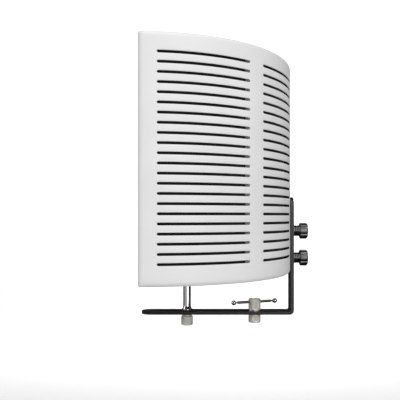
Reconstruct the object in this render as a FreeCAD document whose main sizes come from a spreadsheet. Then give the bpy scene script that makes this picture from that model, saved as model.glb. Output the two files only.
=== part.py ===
import FreeCAD, Part
import math
import os
import Sketcher

Vector = FreeCAD.Vector
Rotation = FreeCAD.Rotation

# how close an edge lies to a size to count as being there, and the least cut worth the name
NEAR = 0.1
LEAST_CUT = 100.0

# A microphone isolation shield: a half-round slotted steel shield lined with foam, held by two
# thumb knobs on an L-shaped flat bar. The bar carries a post for the microphone and a clamp that
# screws on a stand.
#
# Frame: millimetres, +Z up, +X from the microphone towards the back of the shield, Y = 0 is the
# plane of symmetry. The origin is the mouth of the stand thread, at the middle of the foot of
# the stand socket.

DIMENSIONS = [
    # the half-round shield
    ("shell_radius", 211.0, "outer radius of the shield"),
    ("shell_height", 304.0, "height of the shield"),
    ("shell_half_angle", 89.4, "the shield runs this far each side of +X, degrees"),
    ("shell_sheet", 1.2, "sheet thickness"),
    ("shell_edge_roll", 6.0, "radius of the rolled edges"),
    ("shell_flange", 16.0, "depth of the returned edge, from the outer face"),
    ("shell_foot_z", 77.5, "height of the shield's lower edge"),
    ("shell_back_x", 52.0, "x of the shield's rearmost line"),
    ("slot_count", 22, "slots in a column"),
    ("slot_pitch", 12.0, "height from slot to slot"),
    ("slot_gap", 2.8, "height of a slot"),
    ("slot_first_z", 27.0, "lowest slot's middle above the shield's lower edge"),
    ("slot_sweep", 34.6, "arc of a slot, degrees"),
    ("slot_inner_angle", 24.3, "middle of the columns beside the back, degrees"),
    ("slot_outer_angle", 65.9, "middle of the columns beside the front edges, degrees"),
    # the channels and the foam behind the shield's sheet
    ("channel_depth", 8.0, "depth of the channels behind the solid strips"),
    ("channel_inset", 6.5, "gap from a channel's ends to the shield's ends"),
    ("side_channel_angle", 45.1, "middle of the side channels, degrees"),
    ("side_channel_half", 3.5, "half width of a side channel, degrees"),
    ("back_channel_half", 6.3, "half width of the back channel, degrees"),
    ("foam_outer", 201.4, "outer radius of the foam"),
    ("foam_thick", 40.0, "thickness of the foam"),
    ("foam_half_angle", 88.6, "the foam runs this far each side of +X, degrees"),
    ("lining_gap", 1.0, "gap between the lining and the returned edges"),
    # the L-shaped flat bar
    ("bar_width", 30.0, "width of the flat bar"),
    ("bar_thick", 4.5, "thickness of the flat bar"),
    ("bar_length", 230.0, "length of the lower leg, to the upright's outer face"),
    ("bar_rise", 177.0, "height of the upright, from the lower leg's underside"),
    ("bar_foot_z", 13.5, "height of the lower leg's underside"),
    ("bar_outer_x", 58.0, "x of the upright's outer face"),
    ("bend_radius", 7.0, "outer radius of the bend"),
    ("arm_slot_width", 10.4, "width of the lower leg's slot"),
    ("arm_slot_front", -148.2, "x of the front end of the lower leg's slot"),
    ("arm_slot_rear", 5.2, "x of the rear end of the lower leg's slot"),
    ("upright_slot_width", 8.4, "width of the upright's slot"),
    ("upright_slot_low", 66.8, "z of the lower end of the upright's slot"),
    ("upright_slot_high", 181.2, "z of the upper end of the upright's slot"),
    # the knobs
    ("knob_low_z", 98.5, "height of the lower knob"),
    ("knob_spacing", 41.0, "height from knob to knob"),
    ("knob_radius", 12.2, "radius of a knob's head"),
    ("knob_head", 11.0, "length of a knob's head"),
    ("knob_edge", 1.6, "rounding of the head's outer edge"),
    ("flute_count", 8, "flutes round a head"),
    ("flute_radius", 2.6, "radius of a flute"),
    ("flute_circle", 13.4, "radius of the circle that the flutes' axes lie on"),
    ("ferrule_radius", 8.2, "radius of a knob's neck"),
    ("ferrule_length", 10.0, "length of a knob's neck"),
    ("ferrule_groove", 0.7, "depth of the neck's grooves"),
    ("knob_washer", 1.0, "thickness of a knob's washer"),
    ("knob_washer_radius", 9.0, "radius of a knob's washer"),
    ("knob_screw_radius", 3.95, "radius of a knob's screw"),
    ("knob_screw_reach", 13.4, "length of the screw past the upright's outer face"),
    ("knob_screw_grip", 7.0, "length of the screw inside the head"),
    ("weld_nut_width", 13.0, "width of a weld nut across its flats"),
    ("weld_nut_thick", 6.4, "thickness of a weld nut"),
    ("weld_nut_back_x", 50.6, "x of the weld nuts' rear faces"),
    ("running_gap", 0.05, "radial clearance of a screw or stud in its nut"),
    ("overrun", 5.0, "length of a cutting tool past what it cuts"),
    ("end_flat", 0.1, "flat left in the middle of a rounded end"),
    # the strip between the shield and the upright
    ("pad_face_x", 53.2, "x of the pad's flat face"),
    ("pad_width", 26.0, "width of the pad"),
    ("pad_low_z", 84.0, "height of the pad's lower edge"),
    ("pad_height", 84.0, "height of the pad"),
    # the stand clamp
    ("collar_radius", 9.3, "radius of the clamp's collars"),
    ("collar_edge", 0.9, "chamfer of the collars"),
    ("socket_height", 12.5, "height of the stand socket"),
    ("stand_thread_radius", 7.5, "wall radius of the stand thread"),
    ("stand_thread_depth", 9.0, "depth of the stand thread"),
    ("stud_radius", 4.95, "radius of the studs"),
    ("stud_top_z", 27.6, "height of the clamp stud's top"),
    ("clamp_washer_radius", 10.0, "radius of the clamp's washers"),
    ("thin_washer", 1.0, "thickness of the clamp's washers"),
    ("clamp_nut_height", 17.0, "height of the upper collar"),
    ("clamp_nut_thread", 9.2, "depth of the upper collar's thread"),
    ("tommy_z", 31.2, "height of the T-bar's axis"),
    ("tommy_radius", 2.1, "radius of the T-bar"),
    ("tommy_neck_radius", 1.3, "radius of the T-bar's ends"),
    ("tommy_neck", 7.0, "length of the T-bar's thin ends, to the balls' middles"),
    ("tommy_span", 69.6, "distance between the balls' middles"),
    ("tommy_turn", 201.7, "direction of the T-bar from +X, degrees"),
    ("ball_radius", 3.8, "radius of the balls"),
    # the microphone's post
    ("post_x", -103.0, "x of the post"),
    ("post_radius", 5.9, "radius of the post"),
    ("post_shoulder_z", 24.6, "height of the post's lower shoulder"),
    ("post_top_z", 99.0, "height of the post's upper shoulder"),
    ("post_stud_low_z", -1.0, "height of the post's lower end"),
    ("post_pad", 1.2, "thickness of the washer under the flange"),
    ("post_pad_radius", 11.5, "radius of the washer under the flange"),
    ("flange_radius", 7.3, "radius of the flange"),
    ("flange_rim", 1.6, "height of the flange's rim, below its cone"),
    ("tip_radius", 7.94, "outer radius of the microphone thread"),
    ("tip_length", 14.0, "length of the microphone thread"),
    ("tip_grip", 10.0, "length of the post inside the threaded tip"),
    ("tip_spigot_radius", 4.5, "radius of the post inside the threaded tip"),
    ("post_nut_radius", 9.0, "radius of the nut below the bar"),
    ("post_nut_height", 16.3, "height of the nut below the bar"),
    ("post_nut_neck", 1.8, "height of the nut's narrow shoulder"),
    ("post_nut_neck_radius", 7.4, "radius of the nut's narrow shoulder"),
]

doc = FreeCAD.newDocument("isolation_shield")
sheet = doc.addObject("Spreadsheet::Sheet", "dims")
for row, (alias, value, note) in enumerate(DIMENSIONS, start=1):
    sheet.set(f"A{row}", alias)
    sheet.set(f"B{row}", str(value))
    sheet.set(f"C{row}", note)
    sheet.setAlias(f"B{row}", alias)
doc.recompute()

# Heights and places that several pieces share, as expressions on the sheet.
SHELL_AXIS_X = "(dims.shell_back_x - dims.shell_radius)"
SHEET_INNER = "(dims.shell_radius - dims.shell_sheet)"
BAR_TOP_Z = "(dims.bar_foot_z + dims.bar_thick)"
KNOB_HEIGHTS = {"lower": "dims.knob_low_z", "upper": "dims.knob_low_z + dims.knob_spacing"}
LINING_Z = "dims.shell_foot_z + dims.shell_sheet + dims.lining_gap"
LINING_HEIGHT = "dims.shell_height - 2 * dims.shell_sheet - 2 * dims.lining_gap"
ALONG_X = Rotation(Vector(0, 0, 1), Vector(1, 0, 0))

nodes = []


def node(part, label):
    """Name a finished piece and list it for writing."""
    part.Label = label
    nodes.append(part)
    return part


def place(part, x="0", y="0", z="0", rotation=None):
    """Put a piece at a point given by expressions, turned by a fixed rotation."""
    if rotation is not None:
        part.Placement = FreeCAD.Placement(Vector(0, 0, 0), rotation)
    for axis, expression in zip("xyz", (x, y, z)):
        part.setExpression(f".Placement.Base.{axis}", expression)
    return part


def origin_feature(body, role):
    """The body's own origin plane or axis with the given role."""
    return next(item for item in body.Origin.OriginFeatures if item.Role == role)


def circle_edges(shape, radius, height):
    """Names of a shape's circular edges with this radius at this height."""
    names = []
    for index, edge in enumerate(shape.Edges, start=1):
        curve = edge.Curve
        if not isinstance(curve, Part.Circle):
            continue
        same_size = abs(curve.Radius - radius) < NEAR
        same_height = abs(edge.BoundBox.ZMin - height) < NEAR and edge.BoundBox.ZLength < NEAR
        if same_size and same_height:
            names.append(f"Edge{index}")
    return names


def straight_edges(shape, direction, test):
    """Names of a shape's straight edges along a direction whose middle passes a test."""
    names = []
    for index, edge in enumerate(shape.Edges, start=1):
        if not isinstance(edge.Curve, Part.Line):
            continue
        along = abs(edge.Curve.Direction.dot(direction)) > 0.999
        if along and test(edge.BoundBox.Center):
            names.append(f"Edge{index}")
    return names


def rectangle(body, name, plane, low_x, high_x, low_y, high_y):
    """A rectangle on one of the body's planes, its four sides bound to expressions."""
    sketch = body.newObject("Sketcher::SketchObject", name)
    sketch.AttachmentSupport = [(origin_feature(body, plane), "")]
    sketch.MapMode = "FlatFace"
    corners = [Vector(1, 1, 0), Vector(2, 1, 0), Vector(2, 2, 0), Vector(1, 2, 0)]
    for index in range(4):
        line = Part.LineSegment(corners[index], corners[(index + 1) % 4])
        sketch.addGeometry(line, False)
    for index in range(4):
        sketch.addConstraint(Sketcher.Constraint("Coincident", index, 2, (index + 1) % 4, 1))
    sketch.addConstraint(Sketcher.Constraint("Horizontal", 0))
    sketch.addConstraint(Sketcher.Constraint("Vertical", 1))
    sketch.addConstraint(Sketcher.Constraint("Horizontal", 2))
    sketch.addConstraint(Sketcher.Constraint("Vertical", 3))
    sides = [
        ("DistanceX", 0, 1, "low_x", low_x),
        ("DistanceX", 1, 2, "high_x", high_x),
        ("DistanceY", 0, 1, "low_y", low_y),
        ("DistanceY", 2, 2, "high_y", high_y),
    ]
    for kind, line, point, side, expression in sides:
        start = 1.0 if side.startswith("low") else 2.0
        index = sketch.addConstraint(Sketcher.Constraint(kind, -1, 1, line, point, start))
        sketch.renameConstraint(index, side)
        sketch.setExpression(f"Constraints.{side}", expression)
    sketch.Visibility = False
    return sketch


def fillet(body, names, radius):
    """Round some edges of the body's tip."""
    base = body.Tip
    feature = body.newObject("PartDesign::Fillet", "fillet")
    feature.Base = (base, names)
    feature.setExpression("Radius", radius)
    doc.recompute()
    return feature


def chamfer(body, names, size):
    """Bevel some edges of the body's tip."""
    base = body.Tip
    feature = body.newObject("PartDesign::Chamfer", "chamfer")
    feature.Base = (base, names)
    feature.setExpression("Size", size)
    doc.recompute()
    return feature


def sector(name, inner, outer, low_z, height, sweep):
    """A body with a ring sector round its own Z axis, its middle on +X."""
    body = doc.addObject("PartDesign::Body", name)
    section = rectangle(body, f"{name}_section", "XZ_Plane", inner, outer, low_z, f"{low_z} + {height}")
    turn = body.newObject("PartDesign::Revolution", f"{name}_turn")
    turn.Profile = section
    turn.ReferenceAxis = (section, ["V_Axis"])
    turn.Midplane = True
    turn.setExpression("Angle", sweep)
    doc.recompute()
    return body


def turned(name, steps, bores=()):
    """A body turned round its own Z axis from (radius, start, length) steps, less its bores."""
    body = doc.addObject("PartDesign::Body", name)
    features = [("AdditiveCylinder", step) for step in steps]
    features += [("SubtractiveCylinder", bore) for bore in bores]
    for kind, (radius, start, length) in features:
        feature = body.newObject(f"PartDesign::{kind}", f"{name}_step")
        feature.AttachmentSupport = [(origin_feature(body, "XY_Plane"), "")]
        feature.MapMode = "FlatFace"
        feature.setExpression("Radius", radius)
        feature.setExpression("Height", length)
        feature.setExpression(".AttachmentOffset.Base.z", start)
    doc.recompute()
    return body


def rolled_block(name, inner, outer, low_z, height, sweep, roll):
    """A ring sector with every edge of its outer face rounded, and its four corners."""
    body = sector(name, inner, outer, low_z, height, sweep)
    shape = body.Shape
    rim = max(edge.Curve.Radius for edge in shape.Edges if isinstance(edge.Curve, Part.Circle))
    rolled = circle_edges(shape, rim, shape.BoundBox.ZMin)
    rolled += circle_edges(shape, rim, shape.BoundBox.ZMax)
    rolled += straight_edges(shape, Vector(0, 0, 1),
                             lambda middle: math.hypot(middle.x, middle.y) > rim - NEAR)
    for index, edge in enumerate(shape.Edges, start=1):
        if isinstance(edge.Curve, Part.Line) and abs(edge.Curve.Direction.z) < NEAR:
            rolled.append(f"Edge{index}")
    fillet(body, rolled, roll)
    return body


def make_outer_shell():
    """The slotted sheet: rolled edges, returned flanges, four columns of slots, screw holes."""
    flange_middle = "(dims.shell_radius - dims.shell_flange / 2)"
    sheet_angle = f"dims.shell_sheet / {flange_middle} * 180 / pi"
    block = rolled_block("shell_block", "dims.shell_radius - dims.shell_flange", "dims.shell_radius",
                         "0", "dims.shell_height", "2 * dims.shell_half_angle",
                         "dims.shell_edge_roll")
    hollow = rolled_block("shell_hollow", "dims.shell_radius - 3 * dims.shell_flange", SHEET_INNER,
                          "dims.shell_sheet", "dims.shell_height - 2 * dims.shell_sheet",
                          f"2 * dims.shell_half_angle - 2 * {sheet_angle}",
                          "dims.shell_edge_roll - dims.shell_sheet")
    pan = doc.addObject("Part::Cut", "shell_pan")
    pan.Base = block
    pan.Tool = hollow
    doc.recompute()
    body = doc.addObject("PartDesign::Body", "outer_shell")
    body.BaseFeature = pan
    doc.recompute()

    grooves = []
    for name, angle in (("inner", "dims.slot_inner_angle"), ("outer", "dims.slot_outer_angle")):
        for side in (-1, 1):
            label = f"slot_{name}_{'left' if side < 0 else 'right'}"
            section = rectangle(body, f"{label}_section", "XZ_Plane",
                                "dims.shell_radius - 2 * dims.shell_sheet",
                                "dims.shell_radius + dims.shell_sheet",
                                "dims.slot_first_z - dims.slot_gap / 2",
                                "dims.slot_first_z + dims.slot_gap / 2")
            section.AttachmentOffset = FreeCAD.Placement(Vector(0, 0, 0), Rotation(Vector(0, 1, 0), 1))
            section.setExpression(".AttachmentOffset.Rotation.Angle", f"{angle} * {side}")
            groove = body.newObject("PartDesign::Groove", label)
            groove.Profile = section
            groove.ReferenceAxis = (section, ["V_Axis"])
            groove.Midplane = True
            groove.setExpression("Angle", "dims.slot_sweep")
            grooves.append(groove)
    doc.recompute()
    rows = body.newObject("PartDesign::LinearPattern", "slot_rows")
    rows.Originals = grooves
    rows.Direction = (origin_feature(body, "Z_Axis"), [""])
    rows.setExpression("Length", "dims.slot_pitch * (dims.slot_count - 1)")
    rows.setExpression("Occurrences", "dims.slot_count")
    body.Tip = rows
    for height_z in KNOB_HEIGHTS.values():
        hole = body.newObject("PartDesign::SubtractiveCylinder", "screw_hole")
        hole.AttachmentSupport = [(origin_feature(body, "YZ_Plane"), "")]
        hole.MapMode = "FlatFace"
        hole.setExpression("Radius", "dims.upright_slot_width / 2")
        hole.setExpression("Height", "dims.shell_radius + dims.overrun")
        hole.setExpression(".AttachmentOffset.Base.y", f"{height_z} - dims.shell_foot_z")
    doc.recompute()
    place(body, x=SHELL_AXIS_X, z="dims.shell_foot_z")
    return node(body, "outer_shell")


def make_channel(name, middle, half):
    """A channel of thin sheet, open towards the shield, that stiffens a solid strip."""
    inner = f"{SHEET_INNER} - dims.channel_depth"
    height = "dims.shell_height - 2 * dims.channel_inset"
    wall_angle = "dims.shell_sheet / dims.foam_outer * 180 / pi"
    block = sector(f"{name}_block", inner, SHEET_INNER, "0", height, f"2 * {half}")
    hollow = sector(f"{name}_hollow", f"{inner} + dims.shell_sheet", "dims.shell_radius", "0",
                    height, f"2 * {half} - 2 * {wall_angle}")
    cut = doc.addObject("Part::Cut", name)
    cut.Base = block
    cut.Tool = hollow
    cut.Placement = FreeCAD.Placement(Vector(0, 0, 0), Rotation(Vector(0, 0, 1), 1))
    cut.setExpression(".Placement.Rotation.Angle", middle)
    place(cut, x=SHELL_AXIS_X, z="dims.shell_foot_z + dims.channel_inset")
    return node(cut, name)


def make_foam():
    """The foam that lines the shield, held by the returned edges."""
    foam = sector("acoustic_foam", "dims.foam_outer - dims.foam_thick", "dims.foam_outer",
                  "0", LINING_HEIGHT, "2 * dims.foam_half_angle")
    place(foam, x=SHELL_AXIS_X, z=LINING_Z)
    return node(foam, "acoustic_foam")


def make_weld_nuts():
    """Two hexagon nuts inside the back channel."""
    nuts = []
    for name, height_z in KNOB_HEIGHTS.items():
        block = doc.addObject("Part::Prism", f"weld_nut_{name}_block")
        block.Polygon = 6
        block.setExpression("Circumradius", "dims.weld_nut_width / 2 / cos(30)")
        block.setExpression("Height", "dims.weld_nut_thick")
        thread = doc.addObject("Part::Cylinder", f"weld_nut_{name}_thread")
        thread.setExpression("Radius", "dims.knob_screw_radius + dims.running_gap")
        thread.setExpression("Height", "dims.weld_nut_thick")
        nut = doc.addObject("Part::Cut", f"weld_nut_{name}")
        nut.Base = block
        nut.Tool = thread
        place(nut, x="dims.weld_nut_back_x - dims.weld_nut_thick", z=height_z, rotation=ALONG_X)
        nuts.append(nut)
    group = doc.addObject("Part::Compound", "weld_nuts")
    group.Links = nuts
    return node(group, "weld_nuts")


def make_shield_pad():
    """A strip with a hollow face against the shield and a flat face towards the upright."""
    block = doc.addObject("Part::Box", "pad_block")
    block.setExpression("Length", "dims.overrun")
    block.setExpression("Width", "dims.pad_width")
    block.setExpression("Height", "dims.pad_height")
    place(block, x="dims.pad_face_x - dims.overrun", y="-dims.pad_width / 2", z="dims.pad_low_z")
    round_face = doc.addObject("Part::Cylinder", "pad_round_face")
    round_face.setExpression("Radius", "dims.shell_radius")
    round_face.setExpression("Height", "dims.shell_height")
    place(round_face, x=SHELL_AXIS_X, z="dims.shell_foot_z")
    tools = [round_face]
    for name, height_z in KNOB_HEIGHTS.items():
        hole = doc.addObject("Part::Cylinder", f"pad_hole_{name}")
        hole.setExpression("Radius", "dims.upright_slot_width / 2")
        hole.setExpression("Height", "3 * dims.overrun")
        place(hole, x="dims.pad_face_x - 2 * dims.overrun", z=height_z, rotation=ALONG_X)
        tools.append(hole)
    tool = doc.addObject("Part::MultiFuse", "pad_tools")
    tool.Shapes = tools
    pad = doc.addObject("Part::Cut", "shield_pad")
    pad.Base = block
    pad.Tool = tool
    return node(pad, "shield_pad")


def make_bracket():
    """The L-shaped flat bar. Its body starts at the tip of the lower leg, at one lower edge."""
    body = doc.addObject("PartDesign::Body", "bracket")
    leg = rectangle(body, "lower_leg", "XZ_Plane", "0", "dims.bar_length", "0", "dims.bar_thick")
    upright = rectangle(body, "upright", "XZ_Plane", "dims.bar_length - dims.bar_thick",
                        "dims.bar_length", "0", "dims.bar_rise")
    for sketch in (leg, upright):
        pad = body.newObject("PartDesign::Pad", f"{sketch.Name}_pad")
        pad.Profile = sketch
        pad.Reversed = True
        pad.setExpression("Length", "dims.bar_width")
    doc.recompute()
    length = sheet.get("bar_length")
    rise = sheet.get("bar_rise")
    thick = sheet.get("bar_thick")
    across = Vector(0, 1, 0)
    outer_bend = straight_edges(body.Shape, across, lambda middle: middle.x > length - NEAR
                                and middle.z < NEAR)
    fillet(body, outer_bend, "dims.bend_radius")
    inner_bend = straight_edges(body.Shape, across, lambda middle: abs(middle.x - length + thick) < NEAR
                                and abs(middle.z - thick) < NEAR)
    fillet(body, inner_bend, "dims.bend_radius - dims.bar_thick")
    tip = straight_edges(body.Shape, Vector(0, 0, 1), lambda middle: middle.x < NEAR)
    fillet(body, tip, "(dims.bar_width - dims.end_flat) / 2")
    top = straight_edges(body.Shape, Vector(1, 0, 0), lambda middle: middle.z > rise - NEAR)
    fillet(body, top, "(dims.bar_width - dims.end_flat) / 2")

    tip_x = "(dims.bar_outer_x - dims.bar_length)"
    slots = [
        rectangle(body, "arm_slot", "XY_Plane",
                  f"dims.arm_slot_front - {tip_x}", f"dims.arm_slot_rear - {tip_x}",
                  "(dims.bar_width - dims.arm_slot_width) / 2",
                  "(dims.bar_width + dims.arm_slot_width) / 2"),
        rectangle(body, "upright_slot", "YZ_Plane",
                  "(dims.bar_width - dims.upright_slot_width) / 2",
                  "(dims.bar_width + dims.upright_slot_width) / 2",
                  "dims.upright_slot_low - dims.bar_foot_z",
                  "dims.upright_slot_high - dims.bar_foot_z"),
    ]
    for sketch in slots:
        solid_volume = body.Shape.Volume
        pocket = body.newObject("PartDesign::Pocket", f"{sketch.Name}_pocket")
        pocket.Profile = sketch
        pocket.Type = "ThroughAll"
        pocket.Midplane = True
        doc.recompute()
        assert body.Shape.Volume < solid_volume - LEAST_CUT, f"{sketch.Name} cuts nothing"
    front = sheet.get("arm_slot_front") - sheet.get("bar_outer_x") + length
    rear = sheet.get("arm_slot_rear") - sheet.get("bar_outer_x") + length
    arm_ends = straight_edges(body.Shape, Vector(0, 0, 1), lambda middle: abs(middle.x - front) < NEAR
                              or abs(middle.x - rear) < NEAR)
    fillet(body, arm_ends, "(dims.arm_slot_width - dims.end_flat) / 2")
    low = sheet.get("upright_slot_low") - sheet.get("bar_foot_z")
    high = sheet.get("upright_slot_high") - sheet.get("bar_foot_z")
    upright_ends = straight_edges(body.Shape, Vector(1, 0, 0), lambda middle: abs(middle.z - low) < NEAR
                                  or abs(middle.z - high) < NEAR)
    fillet(body, upright_ends, "(dims.upright_slot_width - dims.end_flat) / 2")
    place(body, x="dims.bar_outer_x - dims.bar_length", y="-dims.bar_width / 2", z="dims.bar_foot_z")
    return node(body, "bracket")


def make_knob(name, height_z):
    """A thumb knob: fluted head, grooved neck, screw and washer, along +X from the upright."""
    neck_start = "dims.knob_washer"
    head_start = "dims.knob_washer + dims.ferrule_length"

    head = turned(f"knob_{name}_head", [("dims.knob_radius", head_start, "dims.knob_head")],
                  [("dims.knob_screw_radius", head_start, "dims.knob_screw_grip")])
    top = sheet.get("knob_washer") + sheet.get("ferrule_length") + sheet.get("knob_head")
    chamfer(head, circle_edges(head.Shape, sheet.get("knob_radius"), top), "dims.knob_edge")
    flute = head.newObject("PartDesign::SubtractiveCylinder", "flute")
    flute.AttachmentSupport = [(origin_feature(head, "XY_Plane"), "")]
    flute.MapMode = "FlatFace"
    flute.setExpression("Radius", "dims.flute_radius")
    flute.setExpression("Height", "dims.knob_head + dims.overrun")
    flute.setExpression(".AttachmentOffset.Base.x", "dims.flute_circle * cos(180 / dims.flute_count)")
    flute.setExpression(".AttachmentOffset.Base.y", "dims.flute_circle * sin(180 / dims.flute_count)")
    flute.setExpression(".AttachmentOffset.Base.z", head_start)
    flutes = head.newObject("PartDesign::PolarPattern", "flutes")
    flutes.Originals = [flute]
    flutes.Axis = (origin_feature(head, "Z_Axis"), [""])
    flutes.Angle = 360
    flutes.setExpression("Occurrences", "dims.flute_count")
    head.Tip = flutes
    doc.recompute()

    ferrule = turned(f"knob_{name}_ferrule",
                     [("dims.ferrule_radius", neck_start, "dims.ferrule_length")],
                     [("dims.knob_screw_radius", neck_start, "dims.ferrule_length")])
    for quarter in (1, 2, 3):
        groove = ferrule.newObject("PartDesign::SubtractiveTorus", "groove")
        groove.AttachmentSupport = [(origin_feature(ferrule, "XY_Plane"), "")]
        groove.MapMode = "FlatFace"
        groove.setExpression("Radius1", "dims.ferrule_radius")
        groove.setExpression("Radius2", "dims.ferrule_groove")
        groove.setExpression(".AttachmentOffset.Base.z",
                             f"{neck_start} + {quarter} / 4 * dims.ferrule_length")
    doc.recompute()

    screw = turned(f"knob_{name}_screw",
                   [("dims.knob_screw_radius", "-dims.knob_screw_reach",
                     f"dims.knob_screw_reach + {head_start} + dims.knob_screw_grip")])
    washer = turned(f"knob_{name}_washer", [("dims.knob_washer_radius", "0", "dims.knob_washer")],
                    [("dims.knob_screw_radius + dims.running_gap", "0", "dims.knob_washer")])
    for part, piece in ((head, "head"), (ferrule, "ferrule"), (screw, "screw"), (washer, "washer")):
        place(part, x="dims.bar_outer_x", z=height_z, rotation=ALONG_X)
        node(part, f"knob_{name}_{piece}")


def make_stand_clamp():
    """Socket, stud, washers, upper collar and T-bar, on the Z axis."""
    socket = turned("stand_socket", [("dims.collar_radius", "0", "dims.socket_height")],
                    [("dims.stand_thread_radius", "0", "dims.stand_thread_depth"),
                     ("dims.stud_radius", "0", "dims.socket_height")])
    chamfer(socket, circle_edges(socket.Shape, sheet.get("collar_radius"), 0), "dims.collar_edge")
    node(socket, "stand_socket")

    stud = turned("clamp_stud", [("dims.stud_radius", "dims.stand_thread_depth",
                                  "dims.stud_top_z - dims.stand_thread_depth")])
    node(stud, "clamp_stud")

    for name, start in (("arm_washer", "dims.socket_height"), ("clamp_washer", BAR_TOP_Z)):
        washer = turned(name, [("dims.clamp_washer_radius", start, "dims.thin_washer")],
                        [("dims.stud_radius + dims.running_gap", start, "dims.thin_washer")])
        node(washer, name)

    nut_foot = f"({BAR_TOP_Z} + dims.thin_washer)"
    nut = turned("clamp_nut", [("dims.collar_radius", nut_foot, "dims.clamp_nut_height")],
                 [("dims.stud_radius + dims.running_gap", nut_foot, "dims.clamp_nut_thread")])
    cross_hole = nut.newObject("PartDesign::SubtractiveCylinder", "cross_hole")
    cross_hole.AttachmentSupport = [(origin_feature(nut, "YZ_Plane"), "")]
    cross_hole.MapMode = "FlatFace"
    cross_hole.setExpression("Radius", "dims.tommy_radius")
    cross_hole.setExpression("Height", "4 * dims.collar_radius")
    cross_hole.setExpression(".AttachmentOffset.Base.y", "dims.tommy_z")
    cross_hole.setExpression(".AttachmentOffset.Base.z", "-2 * dims.collar_radius")
    doc.recompute()
    nut_top = (sheet.get("bar_foot_z") + sheet.get("bar_thick") + sheet.get("thin_washer")
               + sheet.get("clamp_nut_height"))
    chamfer(nut, circle_edges(nut.Shape, sheet.get("collar_radius"), nut_top), "dims.collar_edge")
    nut.Placement = FreeCAD.Placement(Vector(0, 0, 0), Rotation(Vector(0, 0, 1), 1))
    nut.setExpression(".Placement.Rotation.Angle", "dims.tommy_turn")
    node(nut, "clamp_nut")

    turn = Rotation(Vector(0, 0, 1), sheet.get("tommy_turn")) * ALONG_X
    half_span = "dims.tommy_span / 2"
    rod = turned("tommy_bar", [
        ("dims.tommy_neck_radius", f"-{half_span}", "dims.tommy_span"),
        ("dims.tommy_radius", f"dims.tommy_neck - {half_span}", "dims.tommy_span - 2 * dims.tommy_neck"),
    ])
    place(rod, z="dims.tommy_z", rotation=turn)
    node(rod, "tommy_bar")

    balls = []
    for side, name in ((-1, "far"), (1, "near")):
        sphere = doc.addObject("Part::Sphere", f"ball_{name}_blank")
        sphere.setExpression("Radius", "dims.ball_radius")
        sphere.setExpression(".Placement.Base.z", f"{side} * {half_span}")
        bore = doc.addObject("Part::Cylinder", f"ball_{name}_bore")
        bore.setExpression("Radius", "dims.tommy_neck_radius")
        bore.setExpression("Height", half_span)
        bore.setExpression(".Placement.Base.z", f"{min(side, 0)} * {half_span}")
        ball = doc.addObject("Part::Cut", f"ball_{name}")
        ball.Base = sphere
        ball.Tool = bore
        place(ball, z="dims.tommy_z", rotation=turn)
        balls.append(ball)
    group = doc.addObject("Part::Compound", "tommy_bar_balls")
    group.Links = balls
    node(group, "tommy_bar_balls")


def make_mic_post():
    """The microphone's post with its flange, washers, threaded tip and nut, round the post's axis."""
    bore = "dims.stud_radius"
    flange_foot = f"({BAR_TOP_Z} + dims.post_pad)"
    post = turned("mic_post", [
        ("dims.stud_radius", "dims.post_stud_low_z", "dims.post_shoulder_z - dims.post_stud_low_z"),
        ("dims.post_radius", "dims.post_shoulder_z", "dims.post_top_z - dims.post_shoulder_z"),
        ("dims.tip_spigot_radius", "dims.post_top_z", "dims.tip_grip"),
    ])
    tip = turned("mic_thread_tip", [("dims.tip_radius", "dims.post_top_z", "dims.tip_length")],
                 [("dims.tip_spigot_radius", "dims.post_top_z", "dims.tip_grip")])
    tip_top = sheet.get("post_top_z") + sheet.get("tip_length")
    chamfer(tip, circle_edges(tip.Shape, sheet.get("tip_radius"), tip_top), "dims.collar_edge")

    pad = turned("post_top_washer", [("dims.post_pad_radius", BAR_TOP_Z, "dims.post_pad")],
                 [(bore, BAR_TOP_Z, "dims.post_pad")])
    flange = turned("post_flange", [("dims.flange_radius", flange_foot, "dims.flange_rim")])
    cone = flange.newObject("PartDesign::AdditiveCone", "flange_cone")
    cone.AttachmentSupport = [(origin_feature(flange, "XY_Plane"), "")]
    cone.MapMode = "FlatFace"
    cone.setExpression("Radius1", "dims.flange_radius")
    cone.setExpression("Radius2", "dims.post_radius")
    cone.setExpression("Height", f"dims.post_shoulder_z - dims.flange_rim - {flange_foot}")
    cone.setExpression(".AttachmentOffset.Base.z", f"{flange_foot} + dims.flange_rim")
    hole = flange.newObject("PartDesign::SubtractiveCylinder", "flange_hole")
    hole.AttachmentSupport = [(origin_feature(flange, "XY_Plane"), "")]
    hole.MapMode = "FlatFace"
    hole.setExpression("Radius", bore)
    hole.setExpression("Height", "dims.post_shoulder_z")
    doc.recompute()

    running = "dims.stud_radius + dims.running_gap"
    washer_foot = "(dims.bar_foot_z - dims.post_pad)"
    washer = turned("post_lower_washer", [("dims.clamp_washer_radius", washer_foot, "dims.post_pad")],
                    [(running, washer_foot, "dims.post_pad")])
    nut_foot = f"({washer_foot} - dims.post_nut_height)"
    nut = turned("post_nut", [
        ("dims.post_nut_radius", nut_foot, "dims.post_nut_height - dims.post_nut_neck"),
        ("dims.post_nut_neck_radius", nut_foot, "dims.post_nut_height"),
    ], [(running, nut_foot, "dims.post_nut_height")])
    nut_low = sheet.get("bar_foot_z") - sheet.get("post_pad") - sheet.get("post_nut_height")
    chamfer(nut, circle_edges(nut.Shape, sheet.get("post_nut_radius"), nut_low), "dims.collar_edge")
    pieces = ((post, "mic_post"), (tip, "mic_thread_tip"), (pad, "post_top_washer"),
              (flange, "post_flange"), (washer, "post_lower_washer"), (nut, "post_nut"))
    for part, name in pieces:
        place(part, x="dims.post_x")
        node(part, name)


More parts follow.
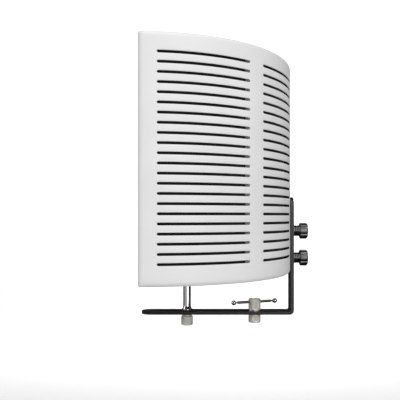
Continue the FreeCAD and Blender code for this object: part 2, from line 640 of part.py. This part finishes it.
make_outer_shell()
make_channel("left_channel", "-dims.side_channel_angle", "dims.side_channel_half")
make_channel("right_channel", "dims.side_channel_angle", "dims.side_channel_half")
make_channel("back_channel", "0", "dims.back_channel_half")
make_foam()
make_weld_nuts()
make_shield_pad()
make_bracket()
for knob_name, knob_height in KNOB_HEIGHTS.items():
    make_knob(knob_name, knob_height)
make_stand_clamp()
make_mic_post()
doc.recompute()

for item in doc.Objects:
    failed = [state for state in item.State if state in ("Invalid", "Error")]
    assert not failed, f"{item.Label} did not compute: {item.State}"
for part in nodes:
    assert not part.Shape.isNull(), f"{part.Label} has no shape"
    assert part.Shape.isValid(), f"{part.Label} is not valid"
    assert part.Shape.Solids, f"{part.Label} has no solid"

os.makedirs("parts", exist_ok=True)
for part in nodes:
    part.Shape.exportStep(f"parts/{part.Label}.step")
    box = part.Shape.BoundBox
    print(f"{part.Label}: {len(part.Shape.Solids)} solid(s), {part.Shape.Volume / 1000:.2f} cm3, "
          f"x {box.XMin:.1f}..{box.XMax:.1f} y {box.YMin:.1f}..{box.YMax:.1f} "
          f"z {box.ZMin:.1f}..{box.ZMax:.1f}")
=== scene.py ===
import math
import bmesh
import bpy
import mathutils
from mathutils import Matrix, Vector


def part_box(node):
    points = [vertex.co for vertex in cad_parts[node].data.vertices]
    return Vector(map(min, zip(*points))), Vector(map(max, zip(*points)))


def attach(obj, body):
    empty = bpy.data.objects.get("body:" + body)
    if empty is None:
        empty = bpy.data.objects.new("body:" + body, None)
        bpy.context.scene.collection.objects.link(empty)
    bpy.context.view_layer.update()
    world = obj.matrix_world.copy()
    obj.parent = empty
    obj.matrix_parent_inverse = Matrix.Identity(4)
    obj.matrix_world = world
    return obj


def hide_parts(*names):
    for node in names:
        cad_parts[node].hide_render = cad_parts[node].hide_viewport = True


# A microphone isolation shield on its L-shaped bracket. Metres; +Z up, +X towards the back of
# the shield, the origin at the mouth of the stand thread.

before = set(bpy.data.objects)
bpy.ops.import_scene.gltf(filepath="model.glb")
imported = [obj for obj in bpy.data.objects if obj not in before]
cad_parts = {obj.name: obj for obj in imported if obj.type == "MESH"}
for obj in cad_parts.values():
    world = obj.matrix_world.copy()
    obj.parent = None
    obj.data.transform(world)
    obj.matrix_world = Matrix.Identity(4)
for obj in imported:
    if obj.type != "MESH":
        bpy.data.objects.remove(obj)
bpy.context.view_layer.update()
scene = bpy.context.scene

MM = 0.001


# ---------------------------------------------------------------- sizes

SHELL_LOW, SHELL_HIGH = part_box("outer_shell")
SHELL_R = 211 * MM
SHELL_AXIS_X = SHELL_HIGH[0] - SHELL_R
SHELL_HEIGHT = SHELL_HIGH[2] - SHELL_LOW[2]
SHELL_HALF_ANGLE = math.radians(89.4)
SHELL_SHEET = 1.0 * MM
SHELL_FLANGE = 16 * MM
EDGE_ROLL = 6 * MM
FOAM_THICK = 40 * MM
FOAM_HALF_ANGLE = math.radians(88.6)
# how square the outline's corners are: 2 is round, more is squarer
CORNER_POWER = 5

SLOT_COUNT = 22
SLOT_PITCH = 12 * MM
SLOT_FIRST = 27 * MM
SLOT_HALF_GAP = 1.7 * MM
SLOT_LIP = 0.7 * MM
SLOT_DEPTH = 1.3 * MM
SLOT_HALF_SWEEP = math.radians(17.3)
SLOT_MIDDLES = [math.radians(a) for a in (-65.9, -24.3, 24.3, 65.9)]
# rows of grid cells in one slot pitch
SLOT_CELLS = 4

# the 5/8 inch threads, the bore of the collar and the nut, and the knurls with their plain rims
THREAD_PITCH = 0.94 * MM
SOCKET_BORE = 7.5 * MM
SOCKET_DEPTH = 9 * MM
NUT_BORE = 5.2 * MM
RIM_RELIEF = 0.1 * MM
KNURL_DEPTH = 0.28 * MM
KNURL_PITCH = 0.62 * MM
# radius of the small flat cap in the middle of a closed end
CENTRE = 0.6 * MM

CAMERA_X = -83.2 * MM
CAMERA_DISTANCE = 916 * MM
CAMERA_HEIGHT = 162 * MM
FOCAL = 54.0
SENSOR = 36.0
HORIZON_SHIFT = 0.0399


# ---------------------------------------------------------------- node materials

def new_material(name):
    """An empty node material and its Principled shader."""
    material = bpy.data.materials.new(name)
    material.use_nodes = True
    shader = material.node_tree.nodes["Principled BSDF"]
    return material, shader


def add_node(material, kind, **inputs):
    """A node of the material, with some of its inputs set."""
    made = material.node_tree.nodes.new(kind)
    for key, value in inputs.items():
        made.inputs[key.replace("_", " ")].default_value = value
    return made


def link(material, source, target):
    material.node_tree.links.new(source, target)


def coordinates(material, scale=(1, 1, 1)):
    """Object coordinates, scaled, in metres."""
    place = add_node(material, "ShaderNodeTexCoord")
    mapping = add_node(material, "ShaderNodeMapping", Scale=scale)
    link(material, place.outputs["Object"], mapping.inputs["Vector"])
    return mapping.outputs["Vector"]


def noise(material, vector, scale, detail=2.0, roughness=0.5):
    made = add_node(material, "ShaderNodeTexNoise", Scale=scale, Detail=detail, Roughness=roughness)
    link(material, vector, made.inputs["Vector"])
    return made.outputs["Fac"]


def ramp(material, value, stops):
    """Colours picked by a value from (place, grey or colour) stops."""
    made = material.node_tree.nodes.new("ShaderNodeValToRGB")
    elements = made.color_ramp.elements
    while len(elements) < len(stops):
        elements.new(0.5)
    for element, (place, colour) in zip(elements, stops):
        if not isinstance(colour, tuple):
            colour = (colour, colour, colour)
        element.position = place
        element.color = (*colour, 1)
    link(material, value, made.inputs["Fac"])
    return made.outputs["Color"]


def spread(material, value, low, high):
    """A noise value, mostly from 0.25 to 0.75, spread over a range."""
    made = add_node(material, "ShaderNodeMapRange", From_Min=0.25, From_Max=0.75, To_Min=low,
                    To_Max=high)
    link(material, value, made.inputs["Value"])
    return made.outputs["Result"]


def bump(material, shader, heights):
    """Chain (height, strength, distance) bumps into the shader's normal."""
    normal = None
    for height, strength, distance in heights:
        made = add_node(material, "ShaderNodeBump", Strength=strength, Distance=distance)
        link(material, height, made.inputs["Height"])
        if normal is not None:
            link(material, normal, made.inputs["Normal"])
        normal = made.outputs["Normal"]
    link(material, normal, shader.inputs["Normal"])


def white_powder_coat():
    """Satin white powder coat: orange peel, and slight changes of gloss and tone."""
    material, shader = new_material("white_powder_coat")
    place = coordinates(material)
    peel = noise(material, place, scale=900, detail=3, roughness=0.55)
    clouds = noise(material, place, scale=14, detail=3, roughness=0.6)
    colour = ramp(material, clouds, [(0.3, 0.80), (0.7, 0.84)])
    link(material, colour, shader.inputs["Base Color"])
    link(material, spread(material, peel, 0.40, 0.52), shader.inputs["Roughness"])
    shader.inputs["Specular IOR Level"].default_value = 0.4
    bump(material, shader, [(peel, 0.12, 0.12 * MM), (clouds, 0.05, 0.6 * MM)])
    return material


def black_powder_coat():
    """Satin black powder coat with a fine texture and a few lighter rubbed places."""
    material, shader = new_material("black_powder_coat")
    place = coordinates(material)
    peel = noise(material, place, scale=1400, detail=3, roughness=0.6)
    rubbed = noise(material, coordinates(material, (20, 90, 90)), scale=1.0, detail=5, roughness=0.7)
    colour = ramp(material, rubbed, [(0.35, 0.007), (0.62, 0.011), (0.8, 0.024)])
    link(material, colour, shader.inputs["Base Color"])
    link(material, spread(material, rubbed, 0.26, 0.36), shader.inputs["Roughness"])
    shader.inputs["Specular IOR Level"].default_value = 0.38
    bump(material, shader, [(peel, 0.2, 0.08 * MM)])
    return material


def plated(name, dark, light, rough_low, rough_high, streaks, streak_bump, metallic=1.0):
    """A plated metal whose tone and gloss vary along fine turning marks."""
    material, shader = new_material(name)
    fine = noise(material, coordinates(material, streaks), scale=1.0, detail=4, roughness=0.6)
    clouds = noise(material, coordinates(material), scale=160, detail=2, roughness=0.5)
    link(material, ramp(material, clouds, [(0.3, dark), (0.7, light)]), shader.inputs["Base Color"])
    link(material, spread(material, fine, rough_low, rough_high), shader.inputs["Roughness"])
    shader.inputs["Metallic"].default_value = metallic
    bump(material, shader, [(fine, streak_bump, 0.05 * MM)])
    return material


def black_rubber():
    """Matte black rubber with a dusty, fine grain."""
    material, shader = new_material("black_rubber")
    grain = noise(material, coordinates(material), scale=1800, detail=4, roughness=0.7)
    link(material, ramp(material, grain, [(0.3, 0.010), (0.7, 0.020)]), shader.inputs["Base Color"])
    link(material, spread(material, grain, 0.62, 0.82), shader.inputs["Roughness"])
    bump(material, shader, [(grain, 0.35, 0.12 * MM)])
    return material


def black_foam():
    """Open-cell foam: cells painted darker as shade in their pits, lighter struts between them, and a
    soft unevenness.
    """
    material, shader = new_material("black_foam")
    place = coordinates(material)
    cells = material.node_tree.nodes.new("ShaderNodeTexVoronoi")
    cells.feature = "DISTANCE_TO_EDGE"
    cells.inputs["Scale"].default_value = 900
    link(material, place, cells.inputs["Vector"])
    struts_and_pore_shade = spread(material, cells.outputs["Distance"], 1.0, 0.0)
    waves = noise(material, place, scale=30, detail=4, roughness=0.6)
    # painted shade: the colour darkens towards each cell's middle, where the bump below sinks the pit
    link(material, ramp(material, struts_and_pore_shade, [(0.0, 0.006), (1.0, 0.030)]), shader.inputs["Base Color"])
    shader.inputs["Roughness"].default_value = 0.95
    shader.inputs["Specular IOR Level"].default_value = 0.2
    shader.inputs["Sheen Weight"].default_value = 0.15
    bump(material, shader, [(waves, 0.3, 2 * MM), (struts_and_pore_shade, 0.6, 0.4 * MM)])
    return material


WHITE = white_powder_coat()
BLACK = black_powder_coat()
CHROME = plated("chrome", dark=0.62, light=0.70, rough_low=0.05, rough_high=0.10,
                streaks=(600, 600, 40), streak_bump=0.02)
NICKEL = plated("satin_nickel", dark=(0.84, 0.81, 0.76), light=(0.93, 0.90, 0.85),
                rough_low=0.42, rough_high=0.56, streaks=(60, 60, 2600), streak_bump=0.2,
                metallic=0.6)
ZINC = plated("zinc", dark=(0.42, 0.43, 0.45), light=(0.55, 0.56, 0.57),
              rough_low=0.28, rough_high=0.42, streaks=(900, 900, 900), streak_bump=0.12)
GUNMETAL = plated("black_nickel", dark=0.07, light=0.12, rough_low=0.20, rough_high=0.32,
                  streaks=(2600, 60, 60), streak_bump=0.18)
STEEL = plated("satin_steel", dark=(0.28, 0.27, 0.25), light=(0.38, 0.37, 0.34),
               rough_low=0.28, rough_high=0.40, streaks=(900, 900, 900), streak_bump=0.12)
RUBBER = black_rubber()
FOAM = black_foam()


# ---------------------------------------------------------------- mesh helpers

def mesh_object(name, verts, faces, material, smooth_angle=40, weld=None):
    """An object from points and faces, smooth except over sharp angles."""
    mesh = bpy.data.meshes.new(name)
    mesh.from_pydata(verts, [], faces)
    work = bmesh.new()
    work.from_mesh(mesh)
    if weld is not None:
        bmesh.ops.remove_doubles(work, verts=work.verts, dist=weld)
    bmesh.ops.recalc_face_normals(work, faces=work.faces)
    for face in work.faces:
        face.smooth = True
    limit = math.radians(smooth_angle)
    for edge in work.edges:
        if len(edge.link_faces) == 2 and edge.calc_face_angle() > limit:
            edge.smooth = False
    work.to_mesh(mesh)
    work.free()
    mesh.materials.append(material)
    made = bpy.data.objects.new(name, mesh)
    scene.collection.objects.link(made)
    return made


# ---------------------------------------------------------------- curved slabs

def even(low, high, count):
    """Evenly spaced values from low to high, both included."""
    return [low + (high - low) * i / count for i in range(count + 1)]


def join(faces, loop_a, loop_b):
    """Quads between two loops of the same length."""
    count = len(loop_a)
    for k in range(count):
        after = (k + 1) % count
        faces.append((loop_a[k], loop_a[after], loop_b[after], loop_b[k]))


class Slab:
    """A face as a grid in arc length and height, with edges that roll away from it."""

    def __init__(self, point, arcs, heights):
        self.point, self.arcs, self.heights = point, arcs, heights
        self.verts, self.faces, self.grid = [], [], {}

    def vertex(self, along, height, depth):
        self.verts.append(self.point(along, height, depth))
        return len(self.verts) - 1

    def grid_vertex(self, i, j, depth=0.0):
        key = i, j, depth
        if key not in self.grid:
            self.grid[key] = self.vertex(self.arcs[i], self.heights[j], depth)
        return self.grid[key]

    def fill(self, holes=(), depth=0.0):
        """The grid's quads, apart from the cells in holes."""
        for i in range(len(self.arcs) - 1):
            for j in range(len(self.heights) - 1):
                if (i, j) in holes:
                    continue
                corners = ((i, j), (i + 1, j), (i + 1, j + 1), (i, j + 1))
                self.faces.append(tuple(self.grid_vertex(*corner, depth) for corner in corners))

    def border(self, corner_steps=6):
        """Grid keys round the edge, each with the direction that points out of the face."""
        last_i, last_j = len(self.arcs) - 1, len(self.heights) - 1
        keys = []

        def corner(i, j, first_angle):
            for k in range(corner_steps + 1):
                angle = first_angle + math.pi / 2 * k / corner_steps
                across, up = math.cos(angle), math.sin(angle)
                size = (abs(across) ** CORNER_POWER + abs(up) ** CORNER_POWER) ** (1 / CORNER_POWER)
                keys.append((i, j, across / size, up / size))

        corner(0, 0, math.pi)
        keys.extend((i, 0, 0.0, -1.0) for i in range(1, last_i))
        corner(last_i, 0, 1.5 * math.pi)
        keys.extend((last_i, j, 1.0, 0.0) for j in range(1, last_j))
        corner(last_i, last_j, 0.0)
        keys.extend((i, last_j, 0.0, 1.0) for i in range(last_i - 1, 0, -1))
        corner(0, last_j, math.pi / 2)
        keys.extend((0, j, -1.0, 0.0) for j in range(last_j - 1, 0, -1))
        return keys

    def roll_edges(self, profile):
        """Rings of (reach, depth) round the face. Returns the last one."""
        border = self.border()
        loop = [self.grid_vertex(i, j) for i, j, _, _ in border]
        for reach, depth in profile:
            ring = [self.vertex(self.arcs[i] + reach * across, self.heights[j] + reach * up, depth)
                    for i, j, across, up in border]
            join(self.faces, loop, ring)
            loop = ring
        return loop

    def build(self, name, material, smooth_angle):
        """The finished object, without the empty faces at the corners."""
        faces = [tuple(dict.fromkeys(face)) for face in self.faces]
        faces = [face for face in faces if len(face) > 2]
        return mesh_object(name, self.verts, faces, material, smooth_angle, weld=1e-7)


def quarter_roll(radius, steps):
    """(reach, depth) round a quarter circle that leaves the face at a tangent."""
    return [(radius * math.sin(roll), radius * (1 - math.cos(roll)))
            for roll in even(0, math.pi / 2, steps)]


def shell_point(along, height, depth):
    """Arc length from the back, height from the lower edge, depth below the outer face."""
    angle = along / SHELL_R
    radius = SHELL_R - depth
    return (SHELL_AXIS_X + radius * math.cos(angle), radius * math.sin(angle),
            SHELL_LOW[2] + height)


def add_slot(slab, start, row, straight_steps):
    """One slot in the grid's cells: a rolled lip, then a short wall inwards.

    The loop of grid points round the cells has as many points as the slot's outline.
    """
    end_steps, lip_steps = SLOT_CELLS + 2, 4
    wide = straight_steps + 2
    around = [(start + a, row + SLOT_CELLS) for a in range(1, wide)]
    around += [(start + wide, row + b) for b in range(SLOT_CELLS, -1, -1)]
    around += [(start + a, row) for a in range(wide - 1, 0, -1)]
    around += [(start, row + b) for b in range(SLOT_CELLS + 1)]
    loop = [slab.grid_vertex(*key) for key in around]

    middle = slab.heights[row + SLOT_CELLS // 2]
    left, right = slab.arcs[start + 1], slab.arcs[start + wide - 1]
    turn = math.pi / end_steps
    outline = [(slab.arcs[start + a], 0.0, 1.0) for a in range(1, wide)]
    outline += [(right, math.sin(turn * k), math.cos(turn * k)) for k in range(1, end_steps)]
    outline += [(slab.arcs[start + a], 0.0, -1.0) for a in range(wide - 1, 0, -1)]
    outline += [(left, -math.sin(turn * k), -math.cos(turn * k)) for k in range(1, end_steps)]

    rings = [(SLOT_HALF_GAP + SLOT_LIP - reach, depth)
             for reach, depth in quarter_roll(SLOT_LIP, lip_steps)]
    rings.append((SLOT_HALF_GAP, SLOT_DEPTH))
    for reach, depth in rings:
        ring = [slab.vertex(along + reach * across, middle + reach * up, depth)
                for along, across, up in outline]
        join(slab.faces, loop, ring)
        loop = ring
    return {(start + a, row + b) for a in range(wide) for b in range(SLOT_CELLS)}


def make_shell():
    """The slotted sheet: columns of slots, solid strips between them, rolled and returned edges."""
    straight_steps = 14
    strip_steps = 3
    roll_steps = 6
    cell_margin = 5 * MM
    half_arc = SHELL_HALF_ANGLE * SHELL_R - EDGE_ROLL
    half_slot = SLOT_HALF_SWEEP * SHELL_R - SLOT_HALF_GAP

    arcs = [-half_arc]
    starts = []
    for angle in SLOT_MIDDLES:
        centre = angle * SHELL_R
        column = even(centre - half_slot, centre + half_slot, straight_steps)
        column = [column[0] - cell_margin] + column + [column[-1] + cell_margin]
        arcs += even(arcs[-1], column[0], strip_steps)[1:-1]
        starts.append(len(arcs))
        arcs += column
    arcs += even(arcs[-1], half_arc, strip_steps)[1:]

    first = SLOT_FIRST - SLOT_PITCH / 2
    heights = even(EDGE_ROLL, first, strip_steps)[:-1]
    first_row = len(heights)
    heights += even(first, first + SLOT_COUNT * SLOT_PITCH, SLOT_CELLS * SLOT_COUNT)
    heights += even(heights[-1], SHELL_HEIGHT - EDGE_ROLL, strip_steps)[1:]

    slab = Slab(shell_point, arcs, heights)
    holes = set()
    for start in starts:
        for slot in range(SLOT_COUNT):
            holes |= add_slot(slab, start, first_row + SLOT_CELLS * slot, straight_steps)
    slab.fill(holes)
    slab.roll_edges(quarter_roll(EDGE_ROLL, roll_steps)[1:] + [(EDGE_ROLL, SHELL_FLANGE)])

    shell = slab.build("shield_sheet", WHITE, smooth_angle=50)
    solid = shell.modifiers.new("sheet", "SOLIDIFY")
    solid.thickness = SHELL_SHEET
    solid.offset = -1
    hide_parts("outer_shell")
    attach(shell, "shield")


def make_foam():
    """The foam as one soft-edged block, its open face slightly uneven, as cut foam is."""
    low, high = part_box("acoustic_foam")
    outer = (high[1] - low[1]) / 2
    inner = outer - FOAM_THICK
    soft_edge = 5 * MM
    edge_steps, arc_steps, height_steps = 6, 120, 48
    uneven = 0.5 * MM
    waves_per_metre = 22
    half_arc = FOAM_HALF_ANGLE * inner

    def foam_point(along, height, depth):
        """Arc length on the open face, height from the foot, depth behind the open face."""
        angle = along / inner
        place = Vector([value * waves_per_metre for value in (along, height, depth)])
        swell = mathutils.noise.noise(place) * uneven
        radius = inner + depth + (swell if depth < FOAM_THICK / 2 else 0.0)
        return (SHELL_AXIS_X + radius * math.cos(angle), radius * math.sin(angle), low[2] + height)

    arcs = even(-half_arc + soft_edge, half_arc - soft_edge, arc_steps)
    heights = even(soft_edge, high[2] - low[2] - soft_edge, height_steps)
    slab = Slab(foam_point, arcs, heights)
    slab.fill()
    front_edge = quarter_roll(soft_edge, edge_steps)
    back_edge = [(reach, FOAM_THICK - depth) for reach, depth in reversed(front_edge)]
    slab.roll_edges(front_edge[1:] + back_edge)
    slab.fill(depth=FOAM_THICK)
    foam = slab.build("foam_lining", FOAM, smooth_angle=60)
    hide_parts("acoustic_foam")
    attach(foam, "shield")


# ---------------------------------------------------------------- turned pieces

def turned_piece(name, axis, rings, material, segments=88, smooth_angle=35):
    """A closed lathe piece round a vertical axis from (height, radius, cut) rings.

    A ring's cut is None, or a function of its segment number that gives the depth cut there.
    A run of rings with the same knurl function alternates high and low points, and is split
    along the low ones, so its quads become pyramids.
    """
    axis_x, axis_y = axis
    verts, faces = [], []
    for row, (height, radius, cut) in enumerate(rings):
        for k in range(segments):
            angle = 2 * math.pi * k / segments
            reach = radius - (cut(k, row) if cut else 0.0)
            verts.append((axis_x + reach * math.cos(angle), axis_y + reach * math.sin(angle), height))
    for row in range(len(rings) - 1):
        for k in range(segments):
            after = (k + 1) % segments
            a, b = row * segments + k, row * segments + after
            c, d = b + segments, a + segments
            if rings[row][2] is knurl_cut and rings[row + 1][2] is knurl_cut:
                if (k + row) % 2:
                    faces += [(a, b, c), (a, c, d)]
                else:
                    faces += [(a, b, d), (b, c, d)]
            else:
                faces.append((a, b, c, d))
    faces.append(tuple(range(segments - 1, -1, -1)))
    last = (len(rings) - 1) * segments
    faces.append(tuple(last + k for k in range(segments)))
    return mesh_object(name, verts, faces, material, smooth_angle)


def knurl_cut(segment, row):
    """High and low points in turn, for a diamond knurl."""
    return KNURL_DEPTH * ((segment + row) % 2)


def knurl_band(low, high, radius):
    """Rings of a diamond knurl between two heights."""
    count = max(2, round((high - low) / KNURL_PITCH))
    return [(height, radius, knurl_cut) for height in even(low, high, count)]


def thread_band(low, high, radius, depth, segments, inside=False):
    """Rings whose points follow a screw thread's ridge."""
    rings_per_turn = 6
    steps = round((high - low) / THREAD_PITCH * rings_per_turn)

    def ring(height):
        def cut(segment, _row):
            phase = (height / THREAD_PITCH - segment / segments) % 1.0
            ridge = abs(2 * phase - 1)
            return depth * ridge * (-1 if inside else 1)
        return height, radius, cut
    return [ring(height) for height in even(low, high, steps)]


def smooth_rings(*places):
    """Plain rings at (height, radius) places."""
    return [(height, radius, None) for height, radius in places]


def upright_cylinder(low, high):
    """The vertical axis of a box's cylinder, its radius, and its foot's and top's heights."""
    axis = ((low[0] + high[0]) / 2, (low[1] + high[1]) / 2)
    return axis, (high[0] - low[0]) / 2, low[2], high[2]


def make_stand_socket():
    """The lower collar, with the stand's thread in its foot and a knurl between plain rims."""
    segments = 88
    ridge = 0.5 * MM
    foot_chamfer, top_chamfer = 0.8 * MM, 0.4 * MM
    foot_rim, top_rim = 2.2 * MM, 1.8 * MM
    gap = 0.2 * MM
    bore_end, stud_hole = 1.2 * MM, 5.0 * MM
    thread_start = 0.5 * MM
    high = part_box("stand_socket")[1]
    radius, top = high[0], high[2]
    plain = radius - RIM_RELIEF
    rings = smooth_rings((SOCKET_DEPTH, bore_end))
    thread = thread_band(thread_start, SOCKET_DEPTH, SOCKET_BORE, ridge, segments, inside=True)
    rings += reversed(thread)
    rings += smooth_rings((0.0, SOCKET_BORE + ridge), (0.0, radius - foot_chamfer),
                          (foot_chamfer, plain), (foot_rim, plain))
    rings += knurl_band(foot_rim + gap, top - top_rim - gap, radius)
    rings += smooth_rings((top - top_rim, plain), (top - top_chamfer, plain),
                          (top, plain - top_chamfer), (top, stud_hole))
    socket = turned_piece("stand_socket_collar", (0, 0), rings, NICKEL, segments)
    finish_piece(socket, "stand_socket", "stand_socket")


def make_clamp_nut():
    """The upper collar, with a recess in its top."""
    foot_chamfer, top_chamfer = 0.4 * MM, 0.8 * MM
    foot_rim, top_rim = 1.6 * MM, 2.4 * MM
    gap = 0.2 * MM
    recess = 2.5 * MM
    recess_rim, recess_floor = 2.0 * MM, 2.4 * MM
    low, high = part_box("clamp_nut")
    radius, foot, top = high[0], low[2], high[2]
    plain = radius - RIM_RELIEF
    rings = smooth_rings((foot, NUT_BORE), (foot, plain - foot_chamfer),
                         (foot + foot_chamfer, plain), (foot + foot_rim, plain))
    rings += knurl_band(foot + foot_rim + gap, top - top_rim - gap, radius)
    rings += smooth_rings((top - top_rim, plain), (top - top_chamfer, plain),
                          (top, radius - top_chamfer), (top, radius - recess_rim),
                          (top - recess, radius - recess_floor), (top - recess, CENTRE))
    nut = turned_piece("clamp_nut_collar", (0, 0), rings, NICKEL)
    finish_piece(nut, "clamp_nut", "clamp_nut")


def make_post_nut():
    """The nut under the arm: three knurled bands with grooves between, and a neck."""
    bands = ((1.4 * MM, 5.0 * MM), (5.9 * MM, 9.6 * MM), (10.5 * MM, 13.2 * MM))
    chamfer_in, chamfer_up = 1.2 * MM, 1.1 * MM
    groove, groove_start, groove_end = 0.6 * MM, 0.1 * MM, 0.8 * MM
    neck, neck_start = 7.4 * MM, 1.2 * MM
    shoulder_in, shoulder_start = 0.3 * MM, 0.2 * MM
    axis, radius, foot, top = upright_cylinder(*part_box("post_nut"))
    rings = smooth_rings((foot, NUT_BORE), (foot, radius - chamfer_in),
                         (foot + chamfer_up, radius - RIM_RELIEF))
    for band_low, band_high in bands[:-1]:
        rings += knurl_band(foot + band_low, foot + band_high, radius)
        rings += smooth_rings((foot + band_high + groove_start, radius - groove),
                              (foot + band_high + groove_end, radius - groove))
    last_low, last_high = bands[-1]
    rings += knurl_band(foot + last_low, foot + last_high, radius)
    rings += smooth_rings((foot + last_high + shoulder_start, radius - shoulder_in),
                          (foot + last_high + neck_start, neck), (top, neck), (top, NUT_BORE))
    nut = turned_piece("post_nut_knurled", axis, rings, NICKEL)
    finish_piece(nut, "post_nut", "post_nut")


def make_thread_tip():
    """The post's tip: plain at its foot, then threaded, and tapered at its top."""
    segments = 64
    ridge = 0.45 * MM
    foot_hole = 4.6 * MM
    chamfer, plain_end = 0.4 * MM, 1.4 * MM
    thread_start, thread_end = 1.6 * MM, 1.2 * MM
    taper = 1.0 * MM
    axis, radius, foot, top = upright_cylinder(*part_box("mic_thread_tip"))
    rings = smooth_rings((foot, foot_hole), (foot, radius - chamfer), (foot + chamfer, radius),
                         (foot + plain_end, radius))
    rings += thread_band(foot + thread_start, top - thread_end, radius, ridge, segments)
    rings += smooth_rings((top, radius - taper), (top, CENTRE))
    tip = turned_piece("mic_thread", axis, rings, NICKEL, segments)
    finish_piece(tip, "mic_thread_tip", "mic_post")


def finish_piece(piece, node_name, body):
    """A piece that stands for a CAD node, which it hides, and rides on its body."""
    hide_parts(node_name)
    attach(piece, body)


make_shell()
make_foam()
make_stand_socket()
make_clamp_nut()
make_post_nut()
make_thread_tip()


# ---------------------------------------------------------------- finishes of the CAD nodes

FINISHES = {
    "left_channel": WHITE, "right_channel": WHITE, "back_channel": BLACK,
    "weld_nuts": ZINC, "shield_pad": RUBBER, "bracket": BLACK,
    "knob_upper_head": GUNMETAL, "knob_upper_ferrule": GUNMETAL, "knob_upper_screw": ZINC,
    "knob_upper_washer": GUNMETAL,
    "knob_lower_head": GUNMETAL, "knob_lower_ferrule": GUNMETAL, "knob_lower_screw": ZINC,
    "knob_lower_washer": GUNMETAL,
    "clamp_stud": ZINC, "arm_washer": ZINC, "clamp_washer": ZINC,
    "tommy_bar": STEEL, "tommy_bar_balls": CHROME,
    "mic_post": CHROME, "post_flange": CHROME,
    "post_top_washer": RUBBER, "post_lower_washer": RUBBER,
}
for node_name, finish in FINISHES.items():
    piece = bpy.data.objects[node_name]
    piece.data.materials.clear()
    piece.data.materials.append(finish)

ROUNDED_EDGES = {"bracket": 0.6 * MM, "knob_upper_head": 1.1 * MM, "knob_lower_head": 1.1 * MM}
for node_name, width in ROUNDED_EDGES.items():
    bevel = bpy.data.objects[node_name].modifiers.new("edges", "BEVEL")
    bevel.width = width
    bevel.segments = 3
    bevel.limit_method = "ANGLE"
    bevel.angle_limit = math.radians(35)
    bevel.harden_normals = True


# ---------------------------------------------------------------- floor, light and camera

def plain_paper(name, grey):
    """A pale, dull surface for the floor and the backdrop."""
    material, shader = new_material(name)
    shader.inputs["Base Color"].default_value = (grey, grey, grey, 1)
    shader.inputs["Roughness"].default_value = 0.9
    return material


def make_stage():
    """One pale sweep: a floor that curves up into a backdrop. Reflections don't show it."""
    floor_z = -0.42
    front_y, back_y = -3.0, 3.2
    top_z = 4.0
    half_width = 4.0
    bend, bend_steps = 0.8, 16
    profile = [(front_y, floor_z)]
    profile += [(back_y - bend + bend * math.sin(a), floor_z + bend - bend * math.cos(a))
                for a in even(0, math.pi / 2, bend_steps)]
    profile.append((back_y, top_z))
    verts = [(x, y, z) for y, z in profile for x in (-half_width, half_width)]
    faces = [(2 * i, 2 * i + 1, 2 * i + 3, 2 * i + 2) for i in range(len(profile) - 1)]
    sweep = mesh_object("sweep", verts, faces, plain_paper("sweep_paper", 0.66), 60)
    sweep.visible_glossy = False


def softbox(name, place, target, size, power):
    """A rectangular soft light that faces a point and that the camera doesn't see."""
    data = bpy.data.lights.new(name, "AREA")
    data.shape = "RECTANGLE"
    data.size, data.size_y = size
    data.energy = power
    lamp = bpy.data.objects.new(name, data)
    lamp.location = place
    lamp.visible_camera = False
    lamp.rotation_euler = (Vector(target) - Vector(place)).to_track_quat("-Z", "Y").to_euler()
    scene.collection.objects.link(lamp)


def make_lights():
    """Broad lights from the front and above, low strips for the metals, and a bright backdrop."""
    middle = (-0.05, 0.0, 0.2)
    softbox("front", (0.7, -2.1, 0.8), middle, (1.4, 1.4), 21.0)
    softbox("low_front", (0.65, -1.9, -0.17), (0.0, 0.0, 0.02), (1.6, 0.24), 4.0)
    softbox("low_left", (-1.3, -1.2, -0.15), (-0.1, 0.0, 0.05), (2.4, 0.3), 0.9)
    softbox("top", (0.0, -0.9, 2.0), middle, (1.6, 1.6), 23.6)
    softbox("left", (-2.0, -0.4, 0.6), middle, (1.2, 1.4), 8.8)
    softbox("right", (2.0, -0.4, 0.6), middle, (1.2, 1.4), 3.2)
    softbox("backdrop", (0.0, 1.2, 1.6), (0.0, 3.2, 0.6), (3.0, 1.0), 120)
    world = bpy.data.worlds.new("studio")
    world.use_nodes = True
    world.node_tree.nodes["Background"].inputs["Color"].default_value = (1, 1, 1, 1)
    world.node_tree.nodes["Background"].inputs["Strength"].default_value = 0.05
    scene.world = world


def make_camera():
    """Level, square to the plane of symmetry, with the frame shifted to place the horizon."""
    data = bpy.data.cameras.new("camera")
    data.lens = FOCAL
    data.sensor_width = SENSOR
    data.shift_y = HORIZON_SHIFT
    camera = bpy.data.objects.new("camera", data)
    camera.location = (CAMERA_X, -CAMERA_DISTANCE, CAMERA_HEIGHT)
    camera.rotation_euler = (math.pi / 2, 0, 0)
    scene.collection.objects.link(camera)
    scene.camera = camera


make_stage()
make_lights()
make_camera()
scene.view_settings.view_transform = "Standard"
